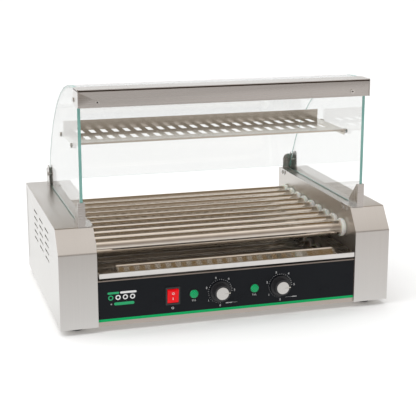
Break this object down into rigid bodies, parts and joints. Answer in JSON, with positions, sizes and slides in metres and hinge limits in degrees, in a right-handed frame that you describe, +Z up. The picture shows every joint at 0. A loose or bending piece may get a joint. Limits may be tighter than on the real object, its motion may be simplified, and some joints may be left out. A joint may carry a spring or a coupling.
{
  "type": "hot dog roller grill",
  "caption": "Countertop roller grill with driven heated tubes between two end housings, a pull-out drip tray, dials and a curved glass hood with a slotted shelf.",
  "frame": {"origin": "centre of the whole object's footprint, on the surface the feet stand on", "axes": "+X to the right along the rollers, +Y to the back, +Z up; the control panel faces -Y"},
  "size_m": [0.58, 0.4124, 0.4004],
  "materials": {
    "brushed_steel": "satin brushed",
    "roller_steel": "fine turned",
    "polished_steel": "polished",
    "drive_steel": "oiled steel",
    "screw_steel": "polished",
    "printed_film": "semi-gloss print",
    "rubber": "matte",
    "black_plastic": "fine moulded",
    "silver_cap": "spun",
    "red_plastic": "gloss",
    "green_lens": "clear gloss",
    "clear_glass": "clear, green at the edges",
    "white_bush": "satin",
    "white_plastic": "satin",
    "heater_sheath": "heat-darkened",
    "motor_case": "zinc plated"
  },
  "bodies": {
    "frame": {"base_pan": "brushed_steel", "left_housing": "brushed_steel", "right_housing": "brushed_steel", "left_inner_wall": "brushed_steel", "right_inner_wall": "brushed_steel", "rear_panel": "brushed_steel", "tray_rails": "brushed_steel", "control_panel": "brushed_steel", "panel_film": "printed_film", "feet": "rubber", "body_screws": "screw_steel", "cable_gland": "black_plastic", "left_glass": "clear_glass", "right_glass": "clear_glass", "rear_glass": "clear_glass", "hood_trim": "brushed_steel", "trim_brackets": "brushed_steel", "shelf": "brushed_steel", "shelf_spacers": "screw_steel", "front_clips": "brushed_steel", "rear_clips": "brushed_steel", "hood_screws": "screw_steel", "switch_frame": "black_plastic", "lamp_holders": "black_plastic", "lamp_lenses": "green_lens", "thermostats": "white_plastic", "terminal_block": "white_plastic", "roller_bushes": "white_bush", "heater_rods": "heater_sheath", "heater_brackets": "brushed_steel", "drive_motor": "motor_case", "motor_bracket": "brushed_steel", "drive_chain": "drive_steel"},
    "roller_1": {"roller_1": "roller_steel", "sprocket_1": "drive_steel"},
    "roller_2": {"roller_2": "roller_steel", "sprocket_2": "drive_steel"},
    "roller_3": {"roller_3": "roller_steel", "sprocket_3": "drive_steel"},
    "roller_4": {"roller_4": "roller_steel", "sprocket_4": "drive_steel"},
    "roller_5": {"roller_5": "roller_steel", "sprocket_5": "drive_steel"},
    "roller_6": {"roller_6": "roller_steel", "sprocket_6": "drive_steel"},
    "roller_7": {"roller_7": "roller_steel", "sprocket_7": "drive_steel"},
    "roller_8": {"roller_8": "roller_steel", "sprocket_8": "drive_steel"},
    "roller_9": {"roller_9": "roller_steel", "sprocket_9": "drive_steel"},
    "motor_output": {"motor_sprocket": "drive_steel"},
    "left_knob": {"left_knob": "black_plastic", "left_knob_cap": "silver_cap", "left_knob_shaft": "screw_steel"},
    "right_knob": {"right_knob": "black_plastic", "right_knob_cap": "silver_cap", "right_knob_shaft": "screw_steel"},
    "rocker": {"rocker": "red_plastic"},
    "drip_tray": {"drip_tray": "polished_steel"}
  },
  "joints": [
    {"name": "roller_1_spin", "type": "hinge", "parent": "frame", "child": "roller_1", "pos_m": [0, -0.1378, 0.1325], "axis": [1, 0, 0], "continuous": true},
    {"name": "roller_2_spin", "type": "hinge", "parent": "frame", "child": "roller_2", "pos_m": [0, -0.1021, 0.1325], "axis": [1, 0, 0], "continuous": true},
    {"name": "roller_3_spin", "type": "hinge", "parent": "frame", "child": "roller_3", "pos_m": [0, -0.0664, 0.1325], "axis": [1, 0, 0], "continuous": true},
    {"name": "roller_4_spin", "type": "hinge", "parent": "frame", "child": "roller_4", "pos_m": [0, -0.0307, 0.1325], "axis": [1, 0, 0], "continuous": true},
    {"name": "roller_5_spin", "type": "hinge", "parent": "frame", "child": "roller_5", "pos_m": [0, 0.005, 0.1325], "axis": [1, 0, 0], "continuous": true},
    {"name": "roller_6_spin", "type": "hinge", "parent": "frame", "child": "roller_6", "pos_m": [0, 0.0407, 0.1325], "axis": [1, 0, 0], "continuous": true},
    {"name": "roller_7_spin", "type": "hinge", "parent": "frame", "child": "roller_7", "pos_m": [0, 0.0764, 0.1325], "axis": [1, 0, 0], "continuous": true},
    {"name": "roller_8_spin", "type": "hinge", "parent": "frame", "child": "roller_8", "pos_m": [0, 0.1121, 0.1325], "axis": [1, 0, 0], "continuous": true},
    {"name": "roller_9_spin", "type": "hinge", "parent": "frame", "child": "roller_9", "pos_m": [0, 0.1478, 0.1325], "axis": [1, 0, 0], "continuous": true},
    {"name": "motor_spin", "type": "hinge", "parent": "frame", "child": "motor_output", "pos_m": [0.24, 0.005, 0.0589], "axis": [1, 0, 0], "continuous": true},
    {"name": "left_knob_turn", "type": "hinge", "parent": "frame", "child": "left_knob", "pos_m": [-0.0176, -0.1938, 0.0522], "axis": [0, -1, 0], "range_deg": [0, 270]},
    {"name": "right_knob_turn", "type": "hinge", "parent": "frame", "child": "right_knob", "pos_m": [0.0901, -0.1938, 0.0522], "axis": [0, -1, 0], "range_deg": [0, 270]},
    {"name": "rocker_tilt", "type": "hinge", "parent": "frame", "child": "rocker", "pos_m": [-0.1006, -0.1893, 0.0522], "axis": [-1, 0, 0], "range_deg": [0, 18]},
    {"name": "tray_slide", "type": "slide", "parent": "frame", "child": "drip_tray", "axis": [0, -1, 0], "range_m": [0, 0.34]}
  ],
  "couplings": [
    {"joint": "roller_2_spin", "follows": "roller_1_spin", "ratio": 1},
    {"joint": "roller_3_spin", "follows": "roller_1_spin", "ratio": 1},
    {"joint": "roller_4_spin", "follows": "roller_1_spin", "ratio": 1},
    {"joint": "roller_5_spin", "follows": "roller_1_spin", "ratio": 1},
    {"joint": "roller_6_spin", "follows": "roller_1_spin", "ratio": 1},
    {"joint": "roller_7_spin", "follows": "roller_1_spin", "ratio": 1},
    {"joint": "roller_8_spin", "follows": "roller_1_spin", "ratio": 1},
    {"joint": "roller_9_spin", "follows": "roller_1_spin", "ratio": 1},
    {"joint": "motor_spin", "follows": "roller_1_spin", "ratio": 1}
  ]
}
